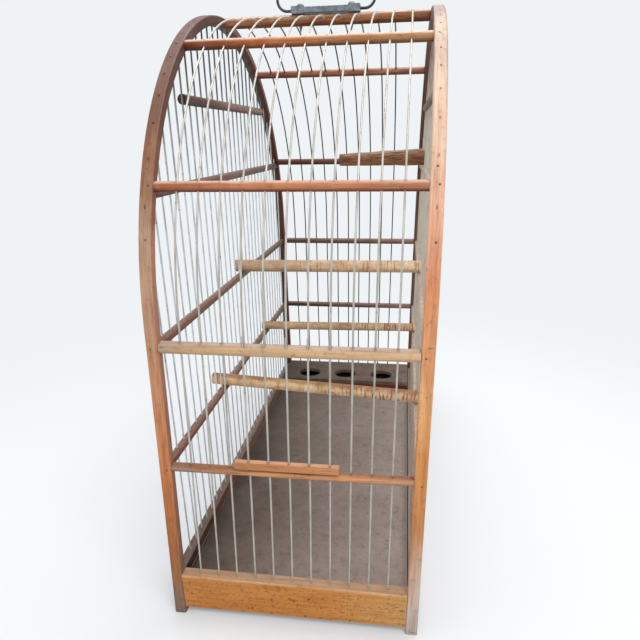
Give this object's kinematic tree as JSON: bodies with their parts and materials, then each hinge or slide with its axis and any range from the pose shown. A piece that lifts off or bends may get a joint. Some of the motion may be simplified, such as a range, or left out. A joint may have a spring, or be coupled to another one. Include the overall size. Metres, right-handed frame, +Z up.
{
  "type": "canary breeding cage",
  "caption": "Arched bird cage of bent wood strips, turned rails and straight wires, with a lift-up wire door, perches, feeder shelf, slide-out tray and folding carrying bail",
  "frame": {"origin": "On the ground midway between the four feet", "axes": "X across the narrow way, with the door on the face towards -Y; Y along the arch; Z up"},
  "size_m": [0.2187, 0.5234, 0.539],
  "materials": {
    "varnished_strip": "aged orange-brown varnish on bent strip",
    "turned_rail": "worn varnish on turned rod",
    "dark_rail": "dark worn varnish on turned rod",
    "board_wood": "golden varnish with worm holes",
    "perch_wood": "bare peeled wood",
    "bark": "rough bark",
    "tray_wood": "greyed and stained bare wood",
    "wire": "dull tinned steel wire",
    "handle_iron": "dull blue-grey iron",
    "bail_iron": "near-black iron wire"
  },
  "bodies": {
    "cage": {"arch_left": "varnished_strip", "arch_right": "varnished_strip", "ridge_rail": "turned_rail", "front_roof_rail": "turned_rail", "front_shoulder_rail": "turned_rail", "front_door_rail": "turned_rail", "front_sill_rail": "turned_rail", "back_roof_rail": "dark_rail", "back_shoulder_rail": "dark_rail", "back_middle_rail": "dark_rail", "back_lower_rail": "dark_rail", "left_upper_rail": "dark_rail", "left_middle_rail": "dark_rail", "left_lower_rail": "dark_rail", "left_spacer": "dark_rail", "right_upper_rail": "dark_rail", "right_middle_rail": "dark_rail", "right_lower_rail": "dark_rail", "right_spacer": "dark_rail", "front_board": "board_wood", "back_board": "board_wood", "left_board": "board_wood", "right_board": "board_wood", "middle_perch": "perch_wood", "front_perch": "perch_wood", "back_perch": "perch_wood", "bark_branch": "bark", "feeder_shelf": "tray_wood", "feeder_riser": "tray_wood", "feeder_cleats": "tray_wood", "tray_runners": "tray_wood", "hoop_wires": "wire", "door_bay_wires": "wire", "sill_wires": "wire", "left_wires": "wire", "right_wires": "wire", "handle_bar": "handle_iron", "handle_clips": "handle_iron", "handle_screws": "handle_iron"},
    "door": {"door_bar": "turned_rail", "door_wires": "wire"},
    "tray": {"tray_floor": "tray_wood", "tray_front": "board_wood", "tray_batten": "tray_wood"},
    "bail": {"handle_bail": "bail_iron"}
  },
  "joints": [
    {"name": "door_lift", "type": "slide", "parent": "cage", "child": "door", "axis": [0, 0.0698, 0.9976], "range_m": [0, 0.0845]},
    {"name": "tray_draw", "type": "slide", "parent": "cage", "child": "tray", "axis": [-1, 0, 0], "range_m": [0, 0.18]},
    {"name": "bail_fold", "type": "hinge", "parent": "cage", "child": "bail", "pos_m": [0, 0, 0.49175], "axis": [1, 0, 0], "range_deg": [-100, 100]}
  ]
}
